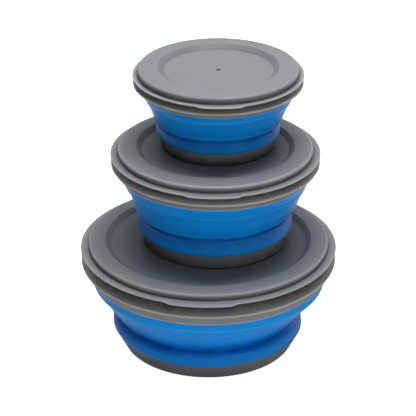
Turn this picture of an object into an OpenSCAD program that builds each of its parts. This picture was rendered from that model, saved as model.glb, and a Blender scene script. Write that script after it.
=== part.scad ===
// Stacked set of three collapsible bowls with lids.
// Each bowl is a hard base, a folding silicone wall, a hard rim ring and a lid.
// Lengths are in millimetres. The origin is the centre of the largest bowl's foot, +Z is up,
// and the pull tabs of the lids face -Y.

/* [Large bowl] */
// Diameter of the lid over its flange
large_lid_d = 200; // [190:1:220]
// Height of the hard base
large_base_h = 14; // [12:0.5:20]
// How far the base widens from its foot to its top
large_base_flare = 8.4; // [5:0.1:11]
// Height from the base to the groove of the lower band
large_band_h = 11.2; // [8:0.1:15]
// Depth of the groove at the top of the lower band
large_groove_depth = 3.8; // [2:0.1:6]
// Height of the lip over that groove
large_lip_h = 4.1; // [3:0.1:6]
// How far that lip stays in from the bulge below it
large_lip_in = 1.3; // [0.5:0.1:2]
// Height of the collar over the lip
large_collar_h = 2.9; // [2:0.1:4]
// Height of the middle band between its two fold webs
large_middle_h = 15.9; // [11:0.1:20]
// How far the wall widens from the lower band to the upper band
large_fold_flare = 15.7; // [9:0.1:18]
// Height of the upper band below the rim ring
large_upper_h = 7.8; // [5:0.1:12]
// How far the upper band widens
large_upper_flare = 1.7; // [1.2:0.1:4]
// Height from the lower end of the rim ring to its edge
large_rim_low_h = 9.4; // [6:0.1:12]
// Height from the edge of the rim ring to the lid's seat
large_rim_high_h = 9.9; // [7:0.1:12]
// How far the rim ring's edge stands out from its neck
large_rim_taper = 4.7; // [3:0.1:6]
// How far its edge stands out from its lower end
large_rim_draw = 5.9; // [4:0.1:7]
// Width of the lid's flange
large_flange_w = 5.7; // [4.5:0.1:7]
// Width of the lid's raised ridge
large_ridge_w = 14; // [12:0.5:18]
// Turn of the lid's tab about the bowl's axis
large_tab_turn = -3.4; // [-180:0.1:180]

/* [Medium bowl] */
// Diameter of the lid over its flange
medium_lid_d = 162; // [152:1:176]
// Height of the hard base
medium_base_h = 12.2; // [10:0.1:16]
// How far the base widens from its foot to its top
medium_base_flare = 5.6; // [3:0.1:8]
// Height from the base to the groove of the lower band
medium_band_h = 13.3; // [9:0.1:17]
// Depth of the groove at the top of the lower band
medium_groove_depth = 1.9; // [0.8:0.1:3]
// Height of the lip over that groove
medium_lip_h = 1.9; // [1.4:0.1:3]
// How far that lip stays in from the bulge below it
medium_lip_in = 0.3; // [0.1:0.1:0.6]
// Height of the collar over the lip
medium_collar_h = 0.8; // [0.5:0.1:1.5]
// Height of the middle band between its two fold webs
medium_middle_h = 14.5; // [11:0.1:20]
// How far the wall widens from the lower band to the upper band
medium_fold_flare = 9.3; // [7:0.1:13]
// Height of the upper band below the rim ring
medium_upper_h = 11.3; // [7:0.1:15]
// How far the upper band widens
medium_upper_flare = 4.8; // [2:0.1:7]
// Height from the lower end of the rim ring to its edge
medium_rim_low_h = 6.1; // [4:0.1:8]
// Height from the edge of the rim ring to the lid's seat
medium_rim_high_h = 6.7; // [5:0.1:9]
// How far the rim ring's edge stands out from its neck
medium_rim_taper = 3.4; // [2.5:0.1:5]
// How far its edge stands out from its lower end
medium_rim_draw = 4.6; // [3:0.1:6]
// Width of the lid's flange
medium_flange_w = 5.2; // [4:0.1:6]
// Width of the lid's raised ridge
medium_ridge_w = 14.9; // [12:0.1:18]
// Turn of the lid's tab about the bowl's axis
medium_tab_turn = -1.6; // [-180:0.1:180]
// Place of the medium bowl in the recess of the large lid, as a share of its free room to the right
medium_shift_x = 0.26; // [-0.7:0.01:0.7]
// The same, to the back
medium_shift_y = 0.3; // [-0.7:0.01:0.7]

/* [Small bowl] */
// Diameter of the lid over its flange
small_lid_d = 131; // [122:1:140]
// Height of the hard base
small_base_h = 11; // [9:0.1:15]
// How far the base widens from its foot to its top
small_base_flare = 5; // [3:0.1:8]
// Height from the base to the groove of the lower band
small_band_h = 7.5; // [6:0.1:11]
// Depth of the groove at the top of the lower band
small_groove_depth = 2.4; // [1:0.1:3]
// Height of the lip over that groove
small_lip_h = 2; // [1.4:0.1:3]
// How far that lip stays in from the bulge below it
small_lip_in = 0.5; // [0.2:0.1:0.8]
// Height of the collar over the lip
small_collar_h = 0.8; // [0.5:0.1:1.5]
// Height of the middle band between its two fold webs
small_middle_h = 13.1; // [9:0.1:18]
// How far the wall widens from the lower band to the upper band
small_fold_flare = 8.4; // [7:0.1:12]
// Height of the upper band below the rim ring
small_upper_h = 6.1; // [4:0.1:10]
// How far the upper band widens
small_upper_flare = 1.3; // [1.2:0.1:3]
// Height from the lower end of the rim ring to its edge
small_rim_low_h = 5.1; // [3.5:0.1:7]
// Height from the edge of the rim ring to the lid's seat
small_rim_high_h = 5.7; // [4.5:0.1:8]
// How far the rim ring's edge stands out from its neck
small_rim_taper = 3.5; // [2.5:0.1:4]
// How far its edge stands out from its lower end
small_rim_draw = 6; // [4:0.1:7]
// Width of the lid's flange
small_flange_w = 3.4; // [3:0.1:4]
// Width of the lid's raised ridge
small_ridge_w = 15.7; // [12:0.1:19]
// Turn of the lid's tab about the bowl's axis
small_tab_turn = 1.2; // [-180:0.1:180]
// Place of the small bowl in the recess of the medium lid, as a share of its free room to the right
small_shift_x = 0.16; // [-0.7:0.01:0.7]
// The same, to the back
small_shift_y = 0.67; // [-0.7:0.01:0.7]

/* [Lids] */
// Wall of the lid
lid_wall = 1.6; // [1.2:0.1:2.2]
// Thickness of the flange
flange_t = 1.6; // [1.2:0.1:2.2]
// Height of the ridge over the lid's seat
ridge_h = 7.3; // [6:0.1:10]
// Depth of the recess that takes the next bowl
recess_depth = 3.5; // [2.5:0.1:4]
// How far the recess wall leans out
recess_lean = 3.9; // [2.5:0.1:4.5]
// How much lower the ridge is at its shoulder than at the recess
ridge_fall = 1.2; // [0.3:0.1:1.6]
// How far the shoulder's wall leans in
shoulder_lean = 0.5; // [0.2:0.1:1.5]
// Radius round the floor of the recess
recess_round = 1.5; // [0.5:0.1:3]
// Radius on the ridge at the recess
crest_round = 2.6; // [2.3:0.1:4]
// Radius on the ridge at its shoulder
shoulder_round = 2.3; // [2.3:0.1:4]
// Radius on the edge of the flange
flange_round = 0.5; // [0.2:0.1:0.6]
// How far the plug reaches down inside the rim ring
plug_h = 3; // [2:0.1:5]
// How far the pull tab stands out from the flange
tab_out = 2.7; // [1.5:0.1:5]
// Angle that the pull tab spans
tab_angle = 29; // [20:1:40]
// Angle of the ramp at each end of the tab
tab_ramp = 2; // [1:0.5:4]
// Diameter of the moulding gate mark at the centre of the lid
gate_d = 3; // [2:0.1:5]
// Depth of the gate mark
gate_depth = 0.5; // [0.2:0.1:0.8]

/* [Rim rings] */
// How far the rim ring's edge stays inside the lid's flange
rim_inset = 0.3; // [0.1:0.1:1]
// Step from the rim ring's lower end to the silicone
rim_step = 1.4; // [1:0.1:2.5]
// Height of the straight neck below the lid's seat
rim_neck_h = 2.5; // [1.5:0.1:3.5]
// Thickness of the seat over the silicone's edge
rim_top_t = 2; // [1.4:0.1:3]
// Thickness of the inner lip
rim_lip_t = 1.4; // [1:0.1:2]
// How far the inner lip reaches down
rim_lip_h = 6; // [4:0.1:7.5]
// Radius on the outer edges of the rim ring
rim_round = 0.7; // [0.3:0.1:1.2]

/* [Silicone walls] */
// Silicone wall, measured level
silicone_t = 1.9; // [1.5:0.1:2.4]
// How far the lower band bulges out over the base
band_bulge = 0.5; // [0.2:0.1:1.5]
// Radius on the lower band above and below its bulge
bulge_round = 3; // [1:0.5:8]
// Height of the flank below the groove, as a share of the groove's depth
groove_flank = 0.7; // [0.5:0.05:1]
// Radius at the bottom of the groove
groove_round = 1; // [0.4:0.1:2]
// Fold web, measured level
web_t = 0.9; // [0.6:0.1:1.2]
// How far a fold web lies in from the wall's outer face
web_inset = 0.35; // [0.2:0.05:0.5]
// Height of a fold web
web_h = 3; // [2:0.1:4]

/* [Bases] */
// Wall of the base
base_wall = 2; // [1.6:0.1:3]
// Floor of the base
base_floor = 2.2; // [1.6:0.1:3]
// Radius of the foot's edge
foot_edge = 1.5; // [0.8:0.1:2]
// Radius between the base's floor and wall inside
base_fillet = 4; // [2:0.5:6]
// Height of the tongue that holds the silicone
tongue_h = 1.6; // [1:0.1:2.5]
// Thickness of that tongue
tongue_t = 1.8; // [1.2:0.1:2.6]

/* [Fits] */
// Level gap between bands that slide past each other
nest_gap = 0.4; // [0.3:0.05:0.6]
// Level gap between the lid's plug and the rim ring
plug_gap = 0.35; // [0.3:0.05:0.6]
// Least gap between a bowl's foot and the wall of the recess that it stands in
recess_gap = 0.5; // [0.3:0.1:2]

/* [Hidden] */
$fn = 120;
fillet_steps = 4;

LARGE = 0;
MEDIUM = 1;
SMALL = 2;
SIZES = [LARGE, MEDIUM, SMALL];
lid_grey = "#8f9499";
rim_grey = "#7f8387";
base_grey = "#4a4b50";
silicone_blue = "#1a6fb5";

// Driving sizes of the three bowls side by side
lid_r = [large_lid_d, medium_lid_d, small_lid_d] / 2;
base_h = [large_base_h, medium_base_h, small_base_h];
base_flare = [large_base_flare, medium_base_flare, small_base_flare];
band_h = [large_band_h, medium_band_h, small_band_h];
groove_depth = [large_groove_depth, medium_groove_depth, small_groove_depth];
lip_h = [large_lip_h, medium_lip_h, small_lip_h];
lip_in = [large_lip_in, medium_lip_in, small_lip_in];
collar_h = [large_collar_h, medium_collar_h, small_collar_h];
middle_h = [large_middle_h, medium_middle_h, small_middle_h];
fold_flare = [large_fold_flare, medium_fold_flare, small_fold_flare];
upper_h = [large_upper_h, medium_upper_h, small_upper_h];
upper_flare = [large_upper_flare, medium_upper_flare, small_upper_flare];
rim_low_h = [large_rim_low_h, medium_rim_low_h, small_rim_low_h];
rim_high_h = [large_rim_high_h, medium_rim_high_h, small_rim_high_h];
rim_taper = [large_rim_taper, medium_rim_taper, small_rim_taper];
rim_draw = [large_rim_draw, medium_rim_draw, small_rim_draw];
flange_w = [large_flange_w, medium_flange_w, small_flange_w];
ridge_w = [large_ridge_w, medium_ridge_w, small_ridge_w];
tab_turn = [large_tab_turn, medium_tab_turn, small_tab_turn];
shift = [[0, 0], [medium_shift_x, medium_shift_y], [small_shift_x, small_shift_y]];

// Radii, worked inwards from the lid
rim_edge_r = [for (s = SIZES) lid_r[s] - rim_inset];
neck_r = [for (s = SIZES) rim_edge_r[s] - rim_taper[s]];
rim_low_r = [for (s = SIZES) rim_edge_r[s] - rim_draw[s]];
mouth_r = [for (s = SIZES) rim_low_r[s] - rim_step];
rim_bore_r = [for (s = SIZES) mouth_r[s] - silicone_t - rim_lip_t];
upper_r = [for (s = SIZES) mouth_r[s] - upper_flare[s]];
waist_r = [for (s = SIZES) upper_r[s] - fold_flare[s]];
base_top_r = [for (s = SIZES) waist_r[s] - band_bulge];
foot_r = [for (s = SIZES) waist_r[s] - base_flare[s]];
// The middle band slides down outside the lower band and inside the upper band
middle_low_r = [for (s = SIZES) waist_r[s] + nest_gap + silicone_t];
middle_high_r = [for (s = SIZES) upper_r[s] - silicone_t - nest_gap];

// Heights over each bowl's own foot, worked upwards
groove_z = [for (s = SIZES) base_h[s] + band_h[s]];
lip_z = [for (s = SIZES) groove_z[s] + lip_h[s]];
collar_z = [for (s = SIZES) lip_z[s] + collar_h[s]];
middle_low_z = [for (s = SIZES) collar_z[s] + web_h];
middle_high_z = [for (s = SIZES) middle_low_z[s] + middle_h[s]];
upper_z = [for (s = SIZES) middle_high_z[s] + web_h];
rim_low_z = [for (s = SIZES) upper_z[s] + upper_h[s]];
rim_edge_z = [for (s = SIZES) rim_low_z[s] + rim_low_h[s]];
seat_z = [for (s = SIZES) rim_edge_z[s] + rim_high_h[s]];
floor_over_seat = ridge_h - recess_depth;

// Radii of the lids
shoulder_r = [for (s = SIZES) lid_r[s] - flange_w[s]];
recess_r = [for (s = SIZES) shoulder_r[s] - ridge_w[s]];
recess_floor_r = [for (s = SIZES) recess_r[s] - recess_lean];
plug_r = [for (s = SIZES) rim_bore_r[s] - plug_gap];

// Each bowl stands on the floor of the recess in the lid beneath it, with some room to every side
function room(s) = recess_floor_r[s - 1] - foot_r[s] - recess_gap;
function stand(s) = s == LARGE ? [0, 0, 0] : stand(s - 1)
    + [room(s) * shift[s][0], room(s) * shift[s][1], seat_z[s - 1] + floor_over_seat];

// The corner p between a and b rounded with the radius r, or with less where a side is short
function unit(v) = v / norm(v);
function fillet(a, p, b, r) = let (
    u = unit(a - p),
    v = unit(b - p),
    half = acos(u * v) / 2,
    reach = min(r / tan(half), norm(a - p) / 2, norm(b - p) / 2),
    radius = reach * tan(half),
    centre = p + unit(u + v) * radius / sin(half)
) [
    for (k = [0:fillet_steps])
        let (side = u * (1 - k / fillet_steps) + v * k / fillet_steps)
        centre + radius * unit(p + side * reach - centre)
];

// Outline through corners that are each [x, y, radius], with its two ends left sharp
function rounded(corners) = let (
    p = [for (c = corners) [c[0], c[1]]],
    last = len(p) - 1
) [
    p[0],
    for (i = [1:last - 1])
        each corners[i][2] > 0 ? fillet(p[i - 1], p[i], p[i + 1], corners[i][2]) : [p[i]],
    p[last]
];

// The path p moved square to itself by d, to its right hand side
function beside(p, d) = let (last = len(p) - 1) [
    for (i = [0:last])
        let (along = unit(p[min(i + 1, last)] - p[max(i - 1, 0)]))
        p[i] + d * [along[1], -along[0]]
];
function reversed(p) = [for (i = [len(p) - 1:-1:0]) p[i]];

// Ring whose outer face follows a path and whose inner face is the same path moved in by t
module skin(path, t) {
    inner = [for (p = reversed(path)) p - [t, 0]];
    rotate_extrude()
        polygon(concat(path, inner));
}

// Places what belongs to one bowl
module at(s) {
    translate(stand(s))
        children();
}

// Hard base: a shallow dish with a tongue round its top that the silicone grips
module base(s) {
    tongue_r = base_top_r[s] - silicone_t;
    inner_r = tongue_r - tongue_t;
    tongue_z = base_h[s] + tongue_h;
    color(base_grey)
        at(s)
            rotate_extrude()
                polygon(rounded([
                    [0, 0, 0],
                    [foot_r[s], 0, foot_edge],
                    [base_top_r[s], base_h[s], 0],
                    [tongue_r, base_h[s], 0],
                    [tongue_r, tongue_z, 0],
                    [inner_r, tongue_z, 0],
                    [inner_r, base_h[s], 0],
                    [foot_r[s] - base_wall, base_floor, base_fillet],
                    [0, base_floor, 0]
                ]));
}

// Outer face of the lower band: a bulge, drawn in to the groove, out again over the lip and up the collar
function lower_face(s) = let (
    straight_z = base_h[s] + tongue_h,
    flank_z = groove_z[s] - groove_flank * groove_depth[s],
    bulge_z = (straight_z + flank_z) / 2
) rounded([
    [base_top_r[s], base_h[s], 0],
    [base_top_r[s], straight_z, 0],
    [waist_r[s], bulge_z, bulge_round],
    [waist_r[s], flank_z, bulge_round],
    [waist_r[s] - groove_depth[s], groove_z[s], groove_round],
    [waist_r[s] - lip_in[s], lip_z[s], 0],
    [waist_r[s], collar_z[s], 0]
]);

// Silicone band that stays with the base
module lower_band(s) {
    color(silicone_blue)
        at(s)
            skin(lower_face(s), silicone_t);
}

// Thin web that lets the wall fold, between two heights
module fold_web(s, low, high) {
    color(silicone_blue)
        at(s)
            skin([low - [web_inset, 0], high - [web_inset, 0]], web_t);
}

// Web between the lower and the middle band
module lower_fold(s) {
    fold_web(s, [waist_r[s], collar_z[s]], [middle_low_r[s], middle_low_z[s]]);
}

// Silicone band that goes halfway down when the bowl is pressed flat
module middle_band(s) {
    color(silicone_blue)
        at(s)
            skin([[middle_low_r[s], middle_low_z[s]], [middle_high_r[s], middle_high_z[s]]], silicone_t);
}

// Web between the middle and the upper band
module upper_fold(s) {
    fold_web(s, [middle_high_r[s], middle_high_z[s]], [upper_r[s], upper_z[s]]);
}

// Silicone band that is held in the rim ring
module upper_band(s) {
    edge_z = seat_z[s] - rim_top_t;
    color(silicone_blue)
        at(s)
            skin([[upper_r[s], upper_z[s]], [mouth_r[s], rim_low_z[s]], [mouth_r[s], edge_z]], silicone_t);
}

// Hard rim ring: an outer edge, a flat seat for the lid and a lip over the silicone's top
module rim_ring(s) {
    seat = seat_z[s];
    held_r = mouth_r[s] - silicone_t;
    color(rim_grey)
        at(s)
            rotate_extrude()
                polygon(rounded([
                    [mouth_r[s], rim_low_z[s], 0],
                    [rim_low_r[s], rim_low_z[s], rim_round],
                    [rim_edge_r[s], rim_edge_z[s], rim_round],
                    [neck_r[s], seat - rim_neck_h, rim_round],
                    [neck_r[s], seat, 0],
                    [rim_bore_r[s], seat, 0],
                    [rim_bore_r[s], seat - rim_lip_h, 0],
                    [held_r, seat - rim_lip_h, 0],
                    [held_r, seat - rim_top_t, 0],
                    [mouth_r[s], seat - rim_top_t, 0]
                ]));
}

// Upper face of a lid from its centre to the flange, over the lid's seat
function lid_face(s) = rounded([
    [0, floor_over_seat, 0],
    [recess_floor_r[s], floor_over_seat, recess_round],
    [recess_r[s], ridge_h, crest_round],
    [shoulder_r[s] - shoulder_lean, ridge_h - ridge_fall, shoulder_round],
    [shoulder_r[s], flange_t, 0]
]);

// Pull tab, seen from above: a wider piece of the flange with a ramp at each end
module tab_outline(s) {
    half = tab_angle / 2;
    root_r = shoulder_r[s];
    wide_r = lid_r[s] + tab_out;
    intersection() {
        difference() {
            circle(r = wide_r);
            circle(r = (root_r + lid_r[s]) / 2);
        }
        polygon([
            [0, 0],
            lid_r[s] * [sin(half + tab_ramp), -cos(half + tab_ramp)],
            wide_r * [sin(half - tab_ramp), -cos(half - tab_ramp)],
            [0, -wide_r / cos(half)],
            wide_r * [-sin(half - tab_ramp), -cos(half - tab_ramp)],
            lid_r[s] * [-sin(half + tab_ramp), -cos(half + tab_ramp)]
        ]);
    }
}

// Lid: a moulded shell with a flange, a ridge, a recess for the next bowl and a plug
module lid(s) {
    face = lid_face(s);
    under = reversed(beside(face, lid_wall));
    flange = rounded([
        [shoulder_r[s], flange_t, 0],
        [lid_r[s], flange_t, flange_round],
        [lid_r[s], 0, flange_round],
        [shoulder_r[s] - lid_wall, 0, 0]
    ]);
    plug_top = lookup(plug_r[s], face) - lid_wall / 2;
    color(lid_grey)
        at(s)
            translate([0, 0, seat_z[s]])
                difference() {
                    union() {
                        rotate_extrude()
                            polygon(concat(face, flange, under));
                        rotate_extrude()
                            translate([plug_r[s] - lid_wall, -plug_h])
                                square([lid_wall, plug_h + plug_top]);
                        rotate(tab_turn[s])
                            linear_extrude(flange_t)
                                tab_outline(s);
                    }
                    translate([0, 0, floor_over_seat - gate_depth])
                        cylinder(h = 2 * gate_depth, d = gate_d);
                }
}

base(LARGE);  // large_base
lower_band(LARGE);  // large_lower_band
lower_fold(LARGE);  // large_lower_fold
middle_band(LARGE);  // large_middle_band
upper_fold(LARGE);  // large_upper_fold
upper_band(LARGE);  // large_upper_band
rim_ring(LARGE);  // large_rim_ring
lid(LARGE);  // large_lid

base(MEDIUM);  // medium_base
lower_band(MEDIUM);  // medium_lower_band
lower_fold(MEDIUM);  // medium_lower_fold
middle_band(MEDIUM);  // medium_middle_band
upper_fold(MEDIUM);  // medium_upper_fold
upper_band(MEDIUM);  // medium_upper_band
rim_ring(MEDIUM);  // medium_rim_ring
lid(MEDIUM);  // medium_lid

base(SMALL);  // small_base
lower_band(SMALL);  // small_lower_band
lower_fold(SMALL);  // small_lower_fold
middle_band(SMALL);  // small_middle_band
upper_fold(SMALL);  // small_upper_fold
upper_band(SMALL);  // small_upper_band
rim_ring(SMALL);  // small_rim_ring
lid(SMALL);  // small_lid
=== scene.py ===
"""Looks of a stacked set of three folding bowls.

Turned plastic pieces, soft silicone walls, finishes and studio. Lengths are metres, in the frame of the solids:
+Z up, pull tabs towards -Y, origin under the largest bowl.
"""

import logging
import math
from collections.abc import Sequence
from dataclasses import dataclass
from enum import Enum
from typing import ClassVar

import bpy
import numpy as np
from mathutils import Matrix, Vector


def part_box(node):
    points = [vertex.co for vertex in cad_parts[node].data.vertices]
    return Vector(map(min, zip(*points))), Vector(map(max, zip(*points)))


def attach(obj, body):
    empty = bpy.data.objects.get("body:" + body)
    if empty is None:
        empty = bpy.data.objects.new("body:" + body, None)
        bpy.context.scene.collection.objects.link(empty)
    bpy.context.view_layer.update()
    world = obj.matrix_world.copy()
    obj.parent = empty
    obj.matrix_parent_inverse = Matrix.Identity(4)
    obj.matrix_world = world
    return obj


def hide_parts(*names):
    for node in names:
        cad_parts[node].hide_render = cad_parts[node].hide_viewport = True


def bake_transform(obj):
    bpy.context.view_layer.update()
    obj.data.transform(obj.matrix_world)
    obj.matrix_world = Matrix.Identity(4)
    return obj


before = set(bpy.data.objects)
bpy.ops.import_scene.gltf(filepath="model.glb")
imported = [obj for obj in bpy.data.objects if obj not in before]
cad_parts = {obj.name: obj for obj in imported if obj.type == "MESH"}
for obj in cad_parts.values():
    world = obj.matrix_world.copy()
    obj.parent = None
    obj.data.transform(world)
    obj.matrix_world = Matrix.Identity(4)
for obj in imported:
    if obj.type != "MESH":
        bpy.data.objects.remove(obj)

LOG = logging.getLogger("bowls")
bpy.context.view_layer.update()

# Points of an outline that are nearer to each other than this are one.
SAME_POINT = 1e-7
# Thickness of the silicone, measured level.
SILICONE_T = 0.0019
# Direction of the front round an axis, in degrees.
FRONT = -90.0
# Numbers of the colours among the inputs and outputs of a Mix node.
MIX_FIRST, MIX_SECOND, MIX_RESULT = 6, 7, 2
# Edge rubbing with painted highlight, and painted shade, are broken up this many times finer than the clouds.
BREAKS_PER_CLOUD = 4

Corner = tuple[float, float, float]
Colour = tuple[float, float, float, float]
Socket = bpy.types.NodeSocket
Value = Socket | float | Colour


class Size(Enum):
    """The three bowls of the set, by the first word of their nodes' names."""

    LARGE = "large"
    MEDIUM = "medium"
    SMALL = "small"


class Slot(Enum):
    """The material slots, by the names of their materials."""

    LID = "lid_plastic"
    RIM = "rim_plastic"
    BASE = "base_plastic"
    SILICONE = "silicone"


@dataclass(frozen=True)
class BowlShape:
    """Sizes of one bowl that the boxes of its nodes don't show.

    Attributes:
        foot_inset: How far the foot is inside the base's edge.
        foot_edge: Rounding of the foot.
        foot_shade: Painted shadow at the foot, from 0 to 1.
        base_inset: How far the base is set in under the silicone.
        waist_inset: How far the lower band is inside its solid.
        hem_h: Height over which the silicone widens above the base.
        groove_rise: Height of the groove over the base.
        groove_depth: Depth of the groove.
        flank: Height of the lower band's turn into the groove.
        bulge_round: Rounding of that turn.
        lip_rise: Height of the lip over the groove.
        lip_in: How far the lip is inside the lower band.
        lip_round: Rounding of the lip.
        shade_reach: Distance over which the wall's creases are felt, as painted shade.
        band_taper: How far the lower band draws in upwards.
        middle_inset: How far the middle band's lower end is inside its upper end.
        upper_flare: How far the upper band's lower end is inside the mouth.
        rim_low_h: Height of the rim ring's keel over its lower end.
        rim_taper: How far the ring's neck is inside its keel.
        rim_draw: How far the ring's lower end is inside its keel.
        neck_h: Height of the neck.
        neck_shade: Height over which the painted shade under the lid fades.
        flange_w: Width of the lid's flange.
        ridge_w: Width of its ridge.
        ridge_fall: How far the ridge falls outwards.
        recess_shade: Painted shade on the slope of the recess, from 0 to 1.
        crest_turn: Turn that counts as a full edge on the lid, in radians.
        tab_turn: Place of the pull tab, in degrees from the front.
        buckle: Size of the wall's soft dents.
        sway: Sideways lean of the wall, as heights over the foot and shifts.
        lines: Fold lines, each as height over the foot, depth, width and bias to one side.
    """

    foot_inset: float
    foot_edge: float
    foot_shade: float
    base_inset: float
    waist_inset: float
    hem_h: float
    groove_rise: float
    groove_depth: float
    flank: float
    bulge_round: float
    lip_rise: float
    lip_in: float
    lip_round: float
    shade_reach: float
    band_taper: float
    middle_inset: float
    upper_flare: float
    rim_low_h: float
    rim_taper: float
    rim_draw: float
    neck_h: float
    neck_shade: float
    flange_w: float
    ridge_w: float
    ridge_fall: float
    recess_shade: float
    crest_turn: float
    tab_turn: float
    buckle: float
    sway: tuple[tuple[float, float], ...]
    lines: tuple[tuple[float, float, float, float], ...]


SHAPES: dict[Size, BowlShape] = {
    Size.LARGE: BowlShape(
        foot_inset=0.0075, foot_edge=0.0015, foot_shade=0.0,
        base_inset=0.0003, waist_inset=0.0003, hem_h=0.0030,
        groove_rise=0.0126, groove_depth=0.0050, flank=0.0036, bulge_round=0.0060,
        lip_rise=0.0034, lip_in=0.0013, lip_round=0.0009, shade_reach=0.0078,
        band_taper=0.0001, middle_inset=0.0115, upper_flare=0.0017,
        rim_low_h=0.0094, rim_taper=0.0036, rim_draw=0.0059, neck_h=0.0026, neck_shade=0.0074,
        flange_w=0.0057, ridge_w=0.0140, ridge_fall=0.0012, recess_shade=0.36, crest_turn=0.9,
        tab_turn=-3.4, buckle=0.00015,
        sway=((0.0140, 0.0), (0.0160, -0.0010), (0.0280, -0.0013), (0.0400, -0.0005), (0.0520, 0.0004),
              (0.0619, 0.0)),
        lines=((0.0526, -0.0009, 0.0016, 0.0),),
    ),
    Size.MEDIUM: BowlShape(
        foot_inset=0.0042, foot_edge=0.0060, foot_shade=0.75,
        base_inset=0.0022, waist_inset=0.0, hem_h=0.0018,
        groove_rise=0.0148, groove_depth=0.0022, flank=0.0012, bulge_round=0.0016,
        lip_rise=0.0025, lip_in=-0.0010, lip_round=0.0040, shade_reach=0.0084,
        band_taper=0.0005, middle_inset=0.0049, upper_flare=0.0048,
        rim_low_h=0.0061, rim_taper=0.0026, rim_draw=0.0046, neck_h=0.0019, neck_shade=0.0036,
        flange_w=0.0052, ridge_w=0.0149, ridge_fall=0.0012, recess_shade=0.45, crest_turn=0.8,
        tab_turn=-1.6, buckle=0.00035,
        sway=((0.0122, 0.0), (0.0170, -0.0006), (0.0230, -0.0010), (0.0280, -0.0010), (0.0330, -0.0006),
              (0.0380, 0.0001), (0.0500, 0.0003), (0.0600, 0.0)),
        lines=((0.0518, 0.0005, 0.0008, 0.5), (0.0480, 0.0004, 0.0008, -0.5)),
    ),
    Size.SMALL: BowlShape(
        foot_inset=0.0037, foot_edge=0.0055, foot_shade=1.0,
        base_inset=0.0016, waist_inset=0.0, hem_h=0.0018,
        groove_rise=0.0100, groove_depth=0.0020, flank=0.0012, bulge_round=0.0014,
        lip_rise=0.0025, lip_in=-0.0003, lip_round=0.0040, shade_reach=0.0080,
        band_taper=0.0007, middle_inset=0.0049, upper_flare=0.0013,
        rim_low_h=0.0051, rim_taper=0.0026, rim_draw=0.0056, neck_h=0.0031, neck_shade=0.0034,
        flange_w=0.0034, ridge_w=0.0157, ridge_fall=0.0010, recess_shade=0.25, crest_turn=1.7,
        tab_turn=1.2, buckle=0.00030,
        sway=((0.0110, 0.0), (0.0150, -0.0004), (0.0220, -0.0004), (0.0350, 0.0002), (0.0465, 0.0)),
        lines=((0.0424, 0.0004, 0.0007, 0.3), (0.0402, 0.0003, 0.0007, -0.3)),
    ),
}


def rounded(corners: Sequence[Corner], steps: int = 9) -> np.ndarray:
    """Outline through corners, each eased with its own radius.

    A corner p with unit vectors u and v towards its neighbours becomes the parabola
    p + reach * ((1 - k)^2 u + k^2 v) for k from 0 to 1. Reach is radius / tan(half the corner's angle), or
    half of the shorter side where that is less.

    Args:
        corners: Radius from the axis, height and easing radius of each corner.
        steps: Points along each eased corner.

    Returns:
        Points of the outline as rows of radius and height, without doubles.
    """
    data = np.asarray(corners, float)
    points, easing = data[:, :2], data[:, 2]
    back = np.roll(points, 1, axis=0) - points
    ahead = np.roll(points, -1, axis=0) - points
    back_length = np.linalg.norm(back, axis=1)
    ahead_length = np.linalg.norm(ahead, axis=1)
    u = back / back_length[:, None]
    v = ahead / ahead_length[:, None]
    half = np.arccos(np.clip((u * v).sum(1), -1.0, 1.0)) / 2
    reach = np.minimum(easing / np.tan(half), np.minimum(back_length, ahead_length) / 2)
    k = np.linspace(0.0, 1.0, steps)[None, :, None]
    arcs = points[:, None] + reach[:, None, None] * ((1 - k) ** 2 * u[:, None] + k**2 * v[:, None])
    path = arcs.reshape(-1, 2)
    fresh = np.linalg.norm(np.diff(path, axis=0), axis=1) > SAME_POINT
    return path[np.concatenate([[True], fresh])]


def resampled(path: np.ndarray, step: float) -> np.ndarray:
    """The same outline with extra points, about one every step.

    None is nearer to an old point than a quarter of the step.

    Args:
        path: Points as rows of radius and height.
        step: Distance between extra points.

    Returns:
        The old points and the new ones between them, in order along the outline.
    """
    along = np.concatenate([[0.0], np.cumsum(np.linalg.norm(np.diff(path, axis=0), axis=1))])
    marks = np.linspace(0.0, along[-1], max(2, math.ceil(along[-1] / step)))
    clear = np.abs(marks[:, None] - along[None, :]).min(1) > step / 4
    where = np.sort(np.concatenate([along, marks[clear]]))
    return np.stack([np.interp(where, along, path[:, 0]), np.interp(where, along, path[:, 1])], axis=1)


def bend(path: np.ndarray, edge_reach: float, crease_reach: float) -> tuple[np.ndarray, np.ndarray]:
    """How sharply an outline turns near each point, outwards and inwards.

    The turn at a point is the change of direction there. Turns of one kind are summed with the weight
    exp(-(d / reach)^2), where d is the distance along the outline, so an edge gives the angle that it turns
    through.

    Args:
        path: Points as rows of radius and height, anticlockwise round the solid.
        edge_reach: Distance over which outer edges are felt, in metres.
        crease_reach: The same for creases.

    Returns:
        Radians at each point, of outer edges and of creases.
    """
    step = np.diff(path, axis=0)
    along = np.concatenate([[0.0], np.cumsum(np.linalg.norm(step, axis=1))])
    heading = np.unwrap(np.arctan2(step[:, 1], step[:, 0]))
    turn = np.zeros(len(path))
    turn[1:-1] = np.diff(heading)
    gap = (along[:, None] - along[None, :]) ** 2
    edge = np.exp(-gap / edge_reach**2) @ np.maximum(turn, 0.0)
    crease = np.exp(-gap / crease_reach**2) @ np.maximum(-turn, 0.0)
    return edge, crease


def smoothstep(x: np.ndarray) -> np.ndarray:
    """Zero below 0, one above 1, and 3x^2 - 2x^3 between."""
    x = np.clip(x, 0.0, 1.0)
    return x * x * (3 - 2 * x)


def node_names(size: Size, *parts: str) -> list[str]:
    """Names of a bowl's nodes, such as large_lid."""
    return [f"{size.value}_{part}" for part in parts]


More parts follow.
